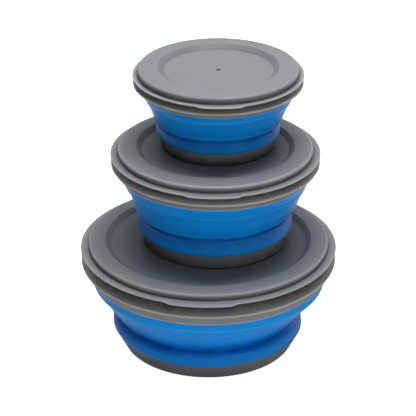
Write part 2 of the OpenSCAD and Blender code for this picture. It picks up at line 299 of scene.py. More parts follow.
@dataclass(frozen=True)
class Place:
    """Where one bowl stands, read from the boxes of its solids.

    Attributes:
        size: Which bowl it is.
        axis: Its upright axis, as x and y.
        foot_z: Height of its foot.
        base_z: Top of the hard base.
        base_r: Radius of the base at its top.
        waist_r: Largest radius of the lower band.
        collar_z: Top of the lower band.
        middle_z: Lower and upper end of the middle band.
        middle_r: Radius of the middle band at its upper end.
        upper_z: Lower end of the upper band.
        mouth_r: Radius of the silicone in the rim ring.
        silicone_top: Top of the silicone in the rim ring.
        rim_z: Lower end of the rim ring.
        seat_z: Height at which the lid sits.
        lid_r: Radius of the lid's flange.
        plug_z: Lower end of the lid's plug.
        top_z: Top of the lid.
    """

    size: Size
    axis: tuple[float, float]
    foot_z: float
    base_z: float
    base_r: float
    waist_r: float
    collar_z: float
    middle_z: tuple[float, float]
    middle_r: float
    upper_z: float
    mouth_r: float
    silicone_top: float
    rim_z: float
    seat_z: float
    lid_r: float
    plug_z: float
    top_z: float

    @classmethod
    def read(cls, size: Size) -> "Place":
        """Reads a bowl's place and main sizes from the frame.

        Args:
            size: Which bowl it is.

        Returns:
            Its place.
        """
        base, lower, middle, upper, rim, lid = (
            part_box(node)
            for node in node_names(size, "base", "lower_band", "middle_band", "upper_band", "rim_ring", "lid")
        )

        def radius(box: tuple[Vector, Vector]) -> float:
            """Half of a box's width."""
            return (box[1].x - box[0].x) / 2

        centre = (rim[0] + rim[1]) / 2
        return cls(
            size=size,
            axis=(centre.x, centre.y),
            foot_z=base[0].z,
            base_z=lower[0].z,
            base_r=radius(base),
            waist_r=radius(lower),
            collar_z=lower[1].z,
            middle_z=(middle[0].z, middle[1].z),
            middle_r=radius(middle),
            upper_z=upper[0].z,
            mouth_r=radius(upper),
            silicone_top=upper[1].z,
            rim_z=rim[0].z,
            seat_z=rim[1].z,
            lid_r=radius(lid),
            plug_z=lid[0].z,
            top_z=lid[1].z,
        )


@dataclass
class TurnedPiece:
    """A piece of one bowl, as a solid of revolution about the bowl's axis.

    Attributes:
        slot: The slot of its finish.
        place: Where the bowl stands.
        shape: The bowl's own sizes.
        step: Distance between extra points of the outline.
        segments: Steps round the axis.
        edge_reach: Distance over which outer edges are felt.
        crease_reach: Distance over which creases are felt.
        edge_angle: Turn that counts as a full edge, in radians.
        crease_angle: Turn that counts as a full crease.
        sharp_angle: Turn from which an edge is shaded as sharp, in degrees.
        calm_r: Radius up to which no edge is felt.
    """

    slot: ClassVar[Slot]

    place: Place
    shape: BowlShape
    step: float = 0.0040
    segments: int = 240
    edge_reach: float = 0.0011
    crease_reach: float = 0.0008
    edge_angle: float = 1.2
    crease_angle: float = 1.4
    sharp_angle: float = 40.0
    calm_r: float = 0.0

    def outline(self) -> np.ndarray:
        """Rows of radius and height, from axis to axis or else closed on itself."""
        raise NotImplementedError

    def swell(self, angle: np.ndarray, path: np.ndarray) -> np.ndarray:
        """Extra radius by angle (a column) and outline point: none."""
        return np.zeros((len(angle), len(path)))

    def painted_shade(self, path: np.ndarray) -> np.ndarray:
        """Least painted shade by outline point, beyond that in creases: none."""
        return np.zeros(len(path))

    def turned(self, name: str) -> bpy.types.Object:
        """Makes the piece's mesh.

        A point of the surface is axis + (radius + swell) * (cos a, sin a) at the outline's height, with the
        angle a along one side of the grid and the outline along the other.

        Args:
            name: Name of the piece.

        Returns:
            The new object, smooth, with "edge" and "crease" attributes from 0 to 1.
            The edge mark paints highlight with rubbing, the crease mark paints shade.
        """
        path = self.outline()
        radius, height = path.T
        if np.sum(radius * np.roll(height, -1) - np.roll(radius, -1) * height) < 0:
            path = path[::-1]
            radius, height = path.T
        edge, crease = bend(path, self.edge_reach, self.crease_reach)
        # The edge mark paints highlight with rubbing on edges; the crease mark paints shade in creases and on
        # faces in shadow.
        marks = {
            "edge": edge / self.edge_angle * (radius > self.calm_r),
            "crease": np.maximum(crease / self.crease_angle, self.painted_shade(path)),
        }
        angle = np.linspace(0.0, 2 * math.pi, self.segments, endpoint=False)[:, None]
        reach = radius + self.swell(angle, path)
        x = self.place.axis[0] + reach * np.cos(angle)
        y = self.place.axis[1] + reach * np.sin(angle)
        grid = np.stack([x, y, np.broadcast_to(height, x.shape)], axis=2)
        if radius[0] < SAME_POINT:
            points, faces = self._with_poles(grid)
            order = np.append(np.tile(np.arange(1, len(path) - 1), self.segments), [0, len(path) - 1])
        else:
            points, faces = grid.reshape(-1, 3), self._quads(len(path), closed=True)
            order = np.tile(np.arange(len(path)), self.segments)
        mesh = bpy.data.meshes.new(name)
        mesh.from_pydata(points, [], faces)
        mesh.update()
        mesh.shade_smooth()
        mesh.set_sharp_from_angle(angle=math.radians(self.sharp_angle))
        for mark, value in marks.items():
            attribute = mesh.attributes.new(mark, "FLOAT", "POINT")
            attribute.data.foreach_set("value", np.clip(value[order], 0.0, 1.0).astype(np.float32))
        piece = bpy.data.objects.new(name, mesh)
        bpy.context.scene.collection.objects.link(piece)
        return piece

    def _quads(self, count: int, closed: bool) -> list[list[int]]:
        """Faces between neighbouring columns of a grid, where column j starts at point j * count.

        Args:
            count: Points in a column.
            closed: Whether the end of a column joins its start.

        Returns:
            Four indices for each face.
        """
        row = np.arange(count if closed else count - 1)
        column = np.arange(self.segments)[:, None]
        here = column * count
        beside = (column + 1) % self.segments * count
        up = (row + 1) % count
        return np.stack([here + row, beside + row, beside + up, here + up], axis=2).reshape(-1, 4).tolist()

    def _with_poles(self, grid: np.ndarray) -> tuple[np.ndarray, list[list[int]]]:
        """Points and faces of a grid whose first and last rows lie on the axis, each as one point.

        Args:
            grid: Points by angle and outline.

        Returns:
            The points, with the two poles last, and the faces.
        """
        inner = grid[:, 1:-1]
        count = inner.shape[1]
        points = np.concatenate([inner.reshape(-1, 3), grid[0, [0, -1]]])
        first, last = len(points) - 2, len(points) - 1
        here = np.arange(self.segments) * count
        beside = np.roll(here, -1)
        start = np.stack([np.full_like(here, first), beside, here], axis=1)
        end = np.stack([np.full_like(here, last), here + count - 1, beside + count - 1], axis=1)
        return points, self._quads(count, closed=False) + start.tolist() + end.tolist()


@dataclass
class HardPiece(TurnedPiece):
    """A hard piece, with the part of the bowl that it stands for, its body and the last word of its name."""

    part: ClassVar[str]
    body: ClassVar[str]
    ending: ClassVar[str]

    def build(self, dress: bpy.types.Material) -> bpy.types.Object:
        """Makes the piece, lets it ride on its body and stand for its solid.

        Args:
            dress: Its finish.

        Returns:
            The new piece.
        """
        node, body = node_names(self.place.size, self.part, self.body)
        piece = self.turned(f"{node}_{self.ending}")
        piece.data.materials.append(dress)
        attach(piece, body)
        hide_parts(node)
        return piece


@dataclass
class HardBase(HardPiece):
    """The plastic dish that a bowl stands on, with a tongue that the silicone grips.

    Attributes:
        wall: Thickness of its side.
        floor: Thickness of its floor.
        inner_fillet: Rounding between side and floor, on the inside.
        tongue_h: Height of the tongue.
        tongue_t: Thickness of the tongue.
        edge_round: Rounding of the upper edges.
    """

    part, body, slot, ending = "base", "base", Slot.BASE, "dish"

    wall: float = 0.0020
    floor: float = 0.0022
    inner_fillet: float = 0.0040
    tongue_h: float = 0.0016
    tongue_t: float = 0.0018
    edge_round: float = 0.0003

    def painted_shade(self, path: np.ndarray) -> np.ndarray:
        """Painted shadow on the base: the bowl's share at the foot, falling evenly to zero at the silicone."""
        level = (path[:, 1] - self.place.foot_z) / (self.place.base_z - self.place.foot_z)
        return self.shape.foot_shade * np.clip(1 - level, 0.0, 1.0)

    def outline(self) -> np.ndarray:
        """Outline from the middle of the foot out, up the side, over the tongue and back along the inside.

        Returns:
            Rows of radius and height.
        """
        place = self.place
        top_r = place.base_r - self.shape.base_inset
        foot_r = place.base_r - self.shape.foot_inset
        tongue_r = top_r - SILICONE_T
        inner_r = tongue_r - self.tongue_t
        tongue_z = place.base_z + self.tongue_h
        path = rounded([
            (0, place.foot_z, 0),
            (foot_r, place.foot_z, self.shape.foot_edge),
            # Half way up the side, so that the foot's rounding stays in its lower half.
            ((foot_r + top_r) / 2, (place.foot_z + place.base_z) / 2, 0),
            (top_r, place.base_z, self.edge_round),
            (tongue_r, place.base_z, 0),
            (tongue_r, tongue_z, self.edge_round),
            (inner_r, tongue_z, self.edge_round),
            (inner_r, place.base_z, self.inner_fillet),
            (foot_r - self.wall, place.foot_z + self.floor, self.inner_fillet),
            (0, place.foot_z + self.floor, 0),
        ])
        return resampled(path, self.step)


@dataclass
class RimRing(HardPiece):
    """The plastic ring round a bowl's mouth, with a keeled outer face, a seat for the lid and an inner lip.

    Attributes:
        neck_round: Rounding of the cove between keel and neck.
        top_t: Thickness of the seat over the silicone.
        lip_t: Thickness of the inner lip.
        lip_h: Height of the inner lip.
        inset: How far the keel is inside the lid's edge.
        edge_round: Rounding of the keel and the other edges.
        shade: Painted shade under the lid, where 1 is full.
        hidden_share: Height under the seat that the flange hides, as a share of the taper.
    """

    part, body, slot, ending = "rim_ring", "rim", Slot.RIM, "turned"

    step: float = 0.0012
    edge_reach: float = 0.0010
    crease_reach: float = 0.0003
    neck_round: float = 0.0050
    top_t: float = 0.0020
    lip_t: float = 0.0014
    lip_h: float = 0.0060
    inset: float = 0.0003
    edge_round: float = 0.0003
    shade: float = 1.05
    hidden_share: float = 0.5

    def painted_shade(self, path: np.ndarray) -> np.ndarray:
        """Painted shade on the outer face under the lid, where the flange shadows it.

        Args:
            path: The ring's outline.

        Returns:
            Crease by outline point: full where the flange hides the neck, falling evenly to zero below that.
        """
        radius, height = path.T
        hidden = self.hidden_share * self.shape.rim_taper
        below = (self.place.seat_z - hidden - height) / self.shape.neck_shade
        return self.shade * np.clip(1 - below, 0.0, 1.0) * (radius > self.place.mouth_r)

    def outline(self) -> np.ndarray:
        """Outline from the lower edge up the outer face, in over the seat and down round the inner lip.

        Returns:
            Rows of radius and height.
        """
        place = self.place
        keel_r = place.lid_r - self.inset
        neck_r = keel_r - self.shape.rim_taper
        held_r = place.mouth_r - SILICONE_T
        bore_r = held_r - self.lip_t
        seat = place.seat_z
        path = rounded([
            (place.mouth_r, place.rim_z, 0),
            (keel_r - self.shape.rim_draw, place.rim_z, self.edge_round),
            (keel_r, place.rim_z + self.shape.rim_low_h, self.edge_round),
            (neck_r, seat - self.shape.neck_h, self.neck_round),
            (neck_r, seat, self.edge_round),
            (bore_r, seat, self.edge_round),
            (bore_r, seat - self.lip_h, self.edge_round),
            (held_r, seat - self.lip_h, self.edge_round),
            (held_r, seat - self.top_t, 0),
            (place.mouth_r, seat - self.top_t, 0),
        ])
        return resampled(path, self.step)


@dataclass
class Lid(HardPiece):
    """A moulded lid: flange with a pull tab, raised ridge, recess for the next bowl, plug and gate mark.

    Attributes:
        wall: Thickness of the moulding.
        flange_z: Lower and upper face of the flange, over the seat.
        recess_depth: Depth of the recess.
        recess_lean: Width of its slope.
        ridge_inset: How far the ridge is inside the flange's inner edge.
        undercut: How far the shoulder draws in downwards.
        recess_round: Rounding at the floor of the recess.
        crest_round: Rounding of the crest round the recess.
        shoulder_round: Rounding of the shoulder.
        small_round: Rounding of the flange, the plug and the creases.
        calm_w: Width of the ridge, from the recess out, that gets no edge rubbing or painted highlight.
        plug_inset: How far the plug is inside the silicone's outer face.
        tab_out: How far the pull tab stands out.
        tab_angle: Length of the tab, in degrees.
        tab_ramp: Half the length of each of its ends, in degrees.
        gate_r: Radius of the gate mark.
        gate_depth: Depth of the gate mark.
        gate_round: Rounding of the gate mark.
    """

    part, body, slot, ending = "lid", "lid", Slot.LID, "moulded"

    segments: int = 360
    edge_reach: float = 0.0010
    wall: float = 0.0016
    flange_z: tuple[float, float] = (0.0004, 0.0011)
    recess_depth: float = 0.0035
    recess_lean: float = 0.0039
    ridge_inset: float = 0.0003
    undercut: float = 0.0007
    recess_round: float = 0.0006
    crest_round: float = 0.0017
    shoulder_round: float = 0.0034
    small_round: float = 0.0004
    calm_w: float = 0.0040
    plug_inset: float = 0.00365
    tab_out: float = 0.0027
    tab_angle: float = 29.0
    tab_ramp: float = 2.0
    gate_r: float = 0.0016
    gate_depth: float = 0.0011
    gate_round: float = 0.0002

    def __post_init__(self) -> None:
        """Finds the shoulder and the recess, and takes the bowl's own strength of edge rubbing with painted
        highlight, which stays off the ridge's inner part.
        """
        self.shoulder_r = self.place.lid_r - self.shape.flange_w
        self.recess_r = self.shoulder_r - self.shape.ridge_w
        self.recess_z = self.place.top_z - self.recess_depth
        self.edge_angle = self.shape.crest_turn
        self.calm_r = self.recess_r + self.calm_w

    def swell(self, angle: np.ndarray, path: np.ndarray) -> np.ndarray:
        """Extra radius of the flange at the pull tab.

        Between the shoulder and the edge the radius grows in proportion to its distance from the shoulder.
        Round the axis the tab rises over its ramp, stays level, and falls again.

        Args:
            angle: Angles round the axis, as a column.
            path: The lid's outline.

        Returns:
            Extra radius by angle and outline point.
        """
        off = np.degrees(np.angle(np.exp(1j * (angle - math.radians(self.shape.tab_turn + FRONT)))))
        window = smoothstep((self.tab_angle / 2 + self.tab_ramp - np.abs(off)) / (2 * self.tab_ramp))
        share = np.clip((path[:, 0] - self.shoulder_r) / self.shape.flange_w, 0.0, 1.0)
        on_flange = path[:, 1] < self.place.seat_z + self.flange_z[1] + SAME_POINT
        return window * self.tab_out * share * on_flange

    def painted_shade(self, path: np.ndarray) -> np.ndarray:
        """Painted shade on the slope of the recess.

        Args:
            path: The lid's outline.

        Returns:
            Crease by outline point: the bowl's share on the slope, and zero elsewhere.
        """
        radius, height = path.T
        inside = (radius > self.recess_r - self.recess_lean) & (radius < self.recess_r)
        return self.shape.recess_shade * (inside & (height > self.recess_z))

    def outline(self) -> np.ndarray:
        """Outline from the gate mark out over the top, round the flange and back along the underside.

        Returns:
            Rows of radius and height.
        """
        place, small = self.place, self.small_round
        top, floor, recess_r = place.top_z, self.recess_z, self.recess_r
        ridge_z = top - self.shape.ridge_fall
        flange_low, flange_top = (place.seat_z + z for z in self.flange_z)
        ridge_r = self.shoulder_r - self.ridge_inset
        plug_r = place.mouth_r - self.plug_inset
        slope = self.shape.ridge_fall / (ridge_r - recess_r)
        ceiling = top - self.wall - slope * (plug_r - recess_r)
        miter = self.wall * math.tan(math.atan2(self.recess_depth, self.recess_lean) / 2)
        path = rounded([
            (0, floor - self.gate_depth, 0),
            (self.gate_r, floor - self.gate_depth, self.gate_round),
            (self.gate_r, floor, self.gate_round),
            (recess_r - self.recess_lean, floor, self.recess_round),
            (recess_r, top, self.crest_round),
            (ridge_r, ridge_z, self.shoulder_round),
            (ridge_r - self.undercut, flange_top, small),
            (place.lid_r, flange_top, small),
            (place.lid_r, flange_low, small),
            (ridge_r - self.undercut - self.wall, flange_low, small),
            (ridge_r - self.wall, ridge_z - self.wall, self.shoulder_round - self.wall),
            (plug_r, ceiling, small),
            (plug_r, place.plug_z, small),
            (plug_r - self.wall, place.plug_z, small),
            (plug_r - self.wall, ceiling, small),
            (recess_r + miter, top - self.wall, small),
            (recess_r - self.recess_lean + miter, floor - self.wall, self.recess_round + self.wall),
            (0, floor - self.wall, 0),
        ])
        return resampled(path, self.step)


@dataclass
class FoldingWall(TurnedPiece):
    """The silicone wall from the base to the rim ring: bands joined by thin fold webs, one soft skin.

    Attributes:
        hem_round: Rounding above the base.
        groove_round: Rounding in the groove.
        top_round: Rounding at the rim ring.
        knee_round: Rounding of the folds.
        fade: Share of the height over which the dents fade, at each end.
        wave_shift: How far the dents turn from the base to the rim ring, in radians.
        waves: Soft dents, each as a count round the axis, a phase and a share.
    """

    slot = Slot.SILICONE

    step: float = 0.0006
    edge_reach: float = 0.0013
    edge_angle: float = 0.45
    crease_angle: float = 1.6
    hem_round: float = 0.0030
    groove_round: float = 0.0012
    top_round: float = 0.0004
    knee_round: float = 0.0024
    fade: float = 0.2
    wave_shift: float = 3.0
    waves: tuple[tuple[int, float, float], ...] = (
        (3, 0.4, 1.0), (5, 1.9, 0.7), (8, 4.1, 0.45), (13, 2.6, 0.25),
    )

    def __post_init__(self) -> None:
        """Takes the bowl's own reach of painted shade, and keeps edge rubbing with painted highlight off the
        lower band.
        """
        self.crease_reach = self.shape.shade_reach
        self.calm_r = self.place.waist_r

    def outline(self) -> np.ndarray:
        """Outline up the outer face from the base into the rim ring, and back down the inner face.

        The inner face is the outer one with its radius less by the thickness of the silicone.

        Returns:
            Rows of radius and height.
        """
        place, shape = self.place, self.shape
        groove_z = place.base_z + shape.groove_rise
        waist_r = place.waist_r - shape.waist_inset
        low, high = place.middle_z
        outer = resampled(rounded([
            (place.base_r - shape.base_inset, place.base_z, 0),
            (waist_r, place.base_z + shape.hem_h, self.hem_round),
            (waist_r - shape.band_taper, groove_z - shape.flank, shape.bulge_round),
            (waist_r - shape.groove_depth, groove_z, self.groove_round),
            (waist_r - shape.lip_in, groove_z + shape.lip_rise, shape.lip_round),
            (place.middle_r - shape.middle_inset, low, self.knee_round),
            (place.middle_r, high, self.knee_round),
            (place.mouth_r - shape.upper_flare, place.upper_z, self.knee_round),
            (place.mouth_r, place.rim_z, self.top_round),
            (place.mouth_r, place.silicone_top, 0),
        ]), self.step)
        return np.concatenate([outer, outer[::-1] - [SILICONE_T, 0.0]])

    def swell(self, angle: np.ndarray, path: np.ndarray) -> np.ndarray:
        """Soft dents and the sideways lean of a wall that has been folded often.

        Waves round the axis are summed, each shifted with the height, and fade out at the base and at the rim
        ring. The lean is a shift to the right by height, which adds the shift times the cosine of the angle. A
        fold line is a notch of depth * exp(-((z - height) / width)^2), or a bead where the depth is below zero,
        and is deeper on one side by its bias times that cosine.

        Args:
            angle: Angles round the axis, as a column.
            path: The wall's outline.

        Returns:
            Extra radius by angle and outline point.
        """
        place = self.place
        level = (path[:, 1] - place.base_z) / (place.rim_z - place.base_z)
        fade = smoothstep(level / self.fade) * smoothstep((1 - level) / self.fade)
        shift = self.wave_shift * level
        waves = sum(share * np.sin(count * angle + phase + shift) for count, phase, share in self.waves)
        z = path[:, 1] - place.foot_z
        lean = np.interp(z, *np.array(self.shape.sway).T)
        notches = sum(
            depth * np.exp(-(((z - height) / width) ** 2)) * (1 + bias * np.cos(angle))
            for height, depth, width, bias in self.shape.lines
        )
        return self.shape.buckle * fade * waves + lean * np.cos(angle) - notches

    def build(self, dress: bpy.types.Material) -> bpy.types.Object:
        """Makes the wall and lets it stand for its five zones.

        Args:
            dress: Its finish.

        Returns:
            The new piece.
        """
        place = self.place
        size = place.size.value
        piece = self.turned(f"{size}_silicone_wall")
        piece.data.materials.append(dress)
        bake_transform(piece)
        zones = node_names(place.size, "lower_band", "lower_fold", "middle_band", "upper_fold", "upper_band")
        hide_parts(*zones)
        return piece


class Shading:
    """A node tree with short calls for adding and joining nodes."""

    def __init__(self, tree: bpy.types.NodeTree) -> None:
        """Keeps the tree."""
        self.tree = tree

    def add(
        self, kind: str, inputs: dict[str | int, Value] | None = None, **settings: object
    ) -> bpy.types.Node:
        """Adds a node.

        Args:
            kind: Type name of the node.
            inputs: Values or output sockets for its inputs, by name or number.
            settings: Properties of the node.

        Returns:
            The node.
        """
        node = self.tree.nodes.new(kind)
        for key, value in settings.items():
            setattr(node, key, value)
        for key, value in (inputs or {}).items():
            if isinstance(value, Socket):
                self.tree.links.new(value, node.inputs[key])
            else:
                node.inputs[key].default_value = value
        return node

    def math(self, operation: str, *values: Value) -> Socket:
        """Result of a Math node on values or sockets."""
        return self.add("ShaderNodeMath", dict(enumerate(values)), operation=operation).outputs[0]

    def noise(self, vector: Socket, scale: Value, detail: float, rough: float = 0.5) -> Socket:
        """Value of a noise texture, from 0 to 1."""
        inputs = {"Vector": vector, "Scale": scale, "Detail": detail, "Roughness": rough}
        return self.add("ShaderNodeTexNoise", inputs).outputs[0]

    def spread(
        self, value: Socket, low: float, high: float, to_low: Value = 0.0, to_high: Value = 1.0
    ) -> Socket:
        """A value taken smoothly from one range to another."""
        inputs = {0: value, 1: low, 2: high, 3: to_low, 4: to_high}
        return self.add("ShaderNodeMapRange", inputs, interpolation_type="SMOOTHSTEP").outputs[0]

    def mix(self, share: Value, first: Value, second: Value) -> Socket:
        """Colour between two colours."""
        inputs = {"Factor": share, MIX_FIRST: first, MIX_SECOND: second}
        return self.add("ShaderNodeMix", inputs, data_type="RGBA").outputs[MIX_RESULT]

    def group(self, group: bpy.types.NodeTree, **inputs: Value) -> bpy.types.Node:
        """Places a node group with its inputs by name, where _ stands for a space."""
        named = {name.replace("_", " "): value for name, value in inputs.items()}
        return self.add("ShaderNodeGroup", named, node_tree=group)


class GroupShading(Shading):
    """A new shader node group, with its inputs as sockets inside it."""

    def __init__(self, name: str, inputs: Sequence[str], outputs: Sequence[str]) -> None:
        """Starts the group.

        Args:
            name: Name of the group.
            inputs: Names of its inputs, all numbers.
            outputs: Names of its outputs, all numbers.
        """
        super().__init__(bpy.data.node_groups.new(name, "ShaderNodeTree"))
        for way, names in (("INPUT", inputs), ("OUTPUT", outputs)):
            for socket in names:
                self.tree.interface.new_socket(socket, in_out=way, socket_type="NodeSocketFloat")
        self.inside = self.add("NodeGroupInput").outputs
        self.outside = self.add("NodeGroupOutput").inputs

    def put_out(self, **results: Socket) -> None:
        """Links results to the outputs of the same names."""
        for name, result in results.items():
            self.tree.links.new(result, self.outside[name])


def moulded_grain_group() -> bpy.types.NodeTree:
    """Texture of a moulded surface: fine grain, slow clouds and long smears, each from 0 to 1.

    Returns:
        The group, with sizes per metre as inputs.
    """
    group = GroupShading(
        "moulded_grain", ["Grain Scale", "Cloud Scale", "Smear Scale"], ["Grain", "Cloud", "Smear"]
    )
    place = group.add("ShaderNodeTexCoord").outputs["Object"]
    # Smears are four times as long as they are high.
    flat = group.add("ShaderNodeMapping", {"Vector": place, "Scale": (1.0, 1.0, 4.0)}).outputs[0]
    grain = group.noise(place, group.inside["Grain Scale"], detail=3.0, rough=0.6)
    cloud = group.noise(place, group.inside["Cloud Scale"], detail=4.0)
    smear = group.noise(flat, group.inside["Smear Scale"], detail=5.0, rough=0.65)
    group.put_out(
        Grain=grain,
        Cloud=group.spread(cloud, low=0.3, high=0.7),
        Smear=group.spread(smear, low=0.35, high=0.75),
    )
    return group.tree


class WearAndPaintedLight(Enum):
    """Edge rubbing with painted highlight, and painted shade: the attribute felt, its power, and the input and
    output.
    """

    # Light edges: partly worn plastic, partly a painted highlight.
    RUB = ("edge", 1.5, "Rub", "Rubbed")
    # Dark creases and faces: painted shade.
    DUST = ("crease", 1.0, "Dust", "Dusty")


def wear_highlight_and_shade_group() -> bpy.types.NodeTree:
    """Where a piece gets edge rubbing with painted highlight, and painted shade in its creases, broken up by
    noise.

    Returns:
        The group, which reads the piece's "edge" and "crease" attributes.
    """
    # The first input and output carry edge rubbing with painted highlight, the second painted shade.
    group = GroupShading("wear_highlight_and_shade", ["Rub", "Dust", "Break Scale"], ["Rubbed", "Dusty"])
    place = group.add("ShaderNodeTexCoord").outputs["Object"]
    noise = group.noise(place, group.inside["Break Scale"], detail=5.0, rough=0.6)
    broken = group.spread(noise, low=0.3, high=0.65, to_low=0.75)
    for wear_and_light in WearAndPaintedLight:
        attribute, power, amount, result = wear_and_light.value
        felt = group.add("ShaderNodeAttribute", attribute_name=attribute).outputs["Fac"]
        share = group.math("MULTIPLY", group.math("POWER", felt, power), group.inside[amount])
        group.put_out(**{result: group.math("MINIMUM", group.math("MULTIPLY", share, broken), 1.0)})
    return group.tree


@dataclass(frozen=True)
class Groups:
    """The node groups that the finishes share."""

    grain: bpy.types.NodeTree
    wear_and_light: bpy.types.NodeTree


@dataclass(frozen=True)
class Finish:
    """A moulded surface.

    Attributes:
        slot: The slot that it fills.
        body: Colour of the material.
        cloud: Colour in its slow clouds.
        rubbed_and_highlit: Colour of worn edges, lightened further as a painted highlight.
        shade_colour: Colour of painted shade in creases and on shaded faces.
        roughness: Lowest and highest roughness.
        specular: Specular level, the same all over.
        grain_scale: Grain per metre.
        cloud_scale: Clouds per metre.
        smear_scale: Smears per metre.
        grain_height: Height of the grain, in metres.
        rub_and_highlight: How strongly edges are worn and lit with a painted highlight.
        shade_amount: How strongly creases and shaded faces are painted with shade.
    """

    slot: Slot
    body: Colour
    cloud: Colour
    rubbed_and_highlit: Colour
    shade_colour: Colour
    roughness: tuple[float, float]
    specular: float
    grain_scale: float
    cloud_scale: float
    smear_scale: float
    grain_height: float
    rub_and_highlight: float
    shade_amount: float

    def material(self, groups: Groups) -> bpy.types.Material:
        """Builds the finish as a material.

        Args:
            groups: Shared node groups.

        Returns:
            The material.
        """
        material = bpy.data.materials.new(self.slot.value)
        material.use_nodes = True
        material.node_tree.nodes.clear()
        shading = Shading(material.node_tree)
        grain = shading.group(
            groups.grain,
            Grain_Scale=self.grain_scale, Cloud_Scale=self.cloud_scale, Smear_Scale=self.smear_scale,
        )
        wear_and_light = shading.group(
            groups.wear_and_light,
            Rub=self.rub_and_highlight, Dust=self.shade_amount, Break_Scale=self.cloud_scale * BREAKS_PER_CLOUD,
        )
        colour = shading.mix(grain.outputs["Cloud"], self.body, self.cloud)
        # Painted shade in creases and on shaded faces, then worn edges with a painted highlight.
        colour = shading.mix(wear_and_light.outputs["Dusty"], colour, self.shade_colour)
        colour = shading.mix(wear_and_light.outputs["Rubbed"], colour, self.rubbed_and_highlit)
        rough = shading.spread(grain.outputs["Smear"], 0.0, 1.0, *self.roughness)
        bump = shading.add(
            "ShaderNodeBump",
            {"Height": grain.outputs["Grain"], "Strength": 1.0, "Distance": self.grain_height},
        )
        surface = shading.add("ShaderNodeBsdfPrincipled", {
            "Base Color": colour,
            "Roughness": rough,
            "Specular IOR Level": self.specular,
            "Normal": bump.outputs[0],
        })
        shading.add("ShaderNodeOutputMaterial", {"Surface": surface.outputs[0]})
        return material


# In each finish the darkest colour is painted shade, and the lightest is worn edges with a painted highlight.
FINISHES: tuple[Finish, ...] = (
    Finish(
        slot=Slot.LID,
        body=(0.216, 0.230, 0.240, 1), cloud=(0.206, 0.220, 0.230, 1),
        rubbed_and_highlit=(0.44, 0.455, 0.46, 1), shade_colour=(0.07, 0.074, 0.078, 1),
        roughness=(0.38, 0.48), specular=0.18,
        grain_scale=2600, cloud_scale=28, smear_scale=60, grain_height=0.00006,
        rub_and_highlight=0.60, shade_amount=0.8,
    ),
    Finish(
        slot=Slot.RIM,
        body=(0.255, 0.253, 0.247, 1), cloud=(0.245, 0.243, 0.237, 1),
        rubbed_and_highlit=(0.56, 0.555, 0.54, 1), shade_colour=(0.012, 0.012, 0.0118, 1),
        roughness=(0.36, 0.48), specular=0.22,
        grain_scale=2600, cloud_scale=30, smear_scale=70, grain_height=0.00005,
        rub_and_highlight=1.8, shade_amount=1.0,
    ),
    Finish(
        slot=Slot.BASE,
        body=(0.214, 0.217, 0.226, 1), cloud=(0.204, 0.207, 0.216, 1),
        rubbed_and_highlit=(0.23, 0.235, 0.24, 1), shade_colour=(0.02, 0.02, 0.021, 1),
        roughness=(0.40, 0.52), specular=0.15,
        grain_scale=2400, cloud_scale=30, smear_scale=60, grain_height=0.00006,
        rub_and_highlight=0.4, shade_amount=1.0,
    ),
    Finish(
        slot=Slot.SILICONE,
        body=(0.0006, 0.318, 0.920, 1), cloud=(0.0005, 0.308, 0.900, 1),
        rubbed_and_highlit=(0.025, 0.51, 1.0, 1), shade_colour=(0.0001, 0.142, 0.57, 1),
        roughness=(0.28, 0.30), specular=0.18,
        grain_scale=900, cloud_scale=22, smear_scale=45, grain_height=0.00001,
        rub_and_highlight=0.72, shade_amount=1.0,
    ),
)


@dataclass(frozen=True)
class Lamp:
    """A soft rectangular lamp that faces the middle of the set.

    Attributes:
        name: Its name.
        place: Where it hangs.
        size: Width and height.
        power: Watts.
    """

    name: str
    place: tuple[float, float, float]
    size: tuple[float, float]
    power: float


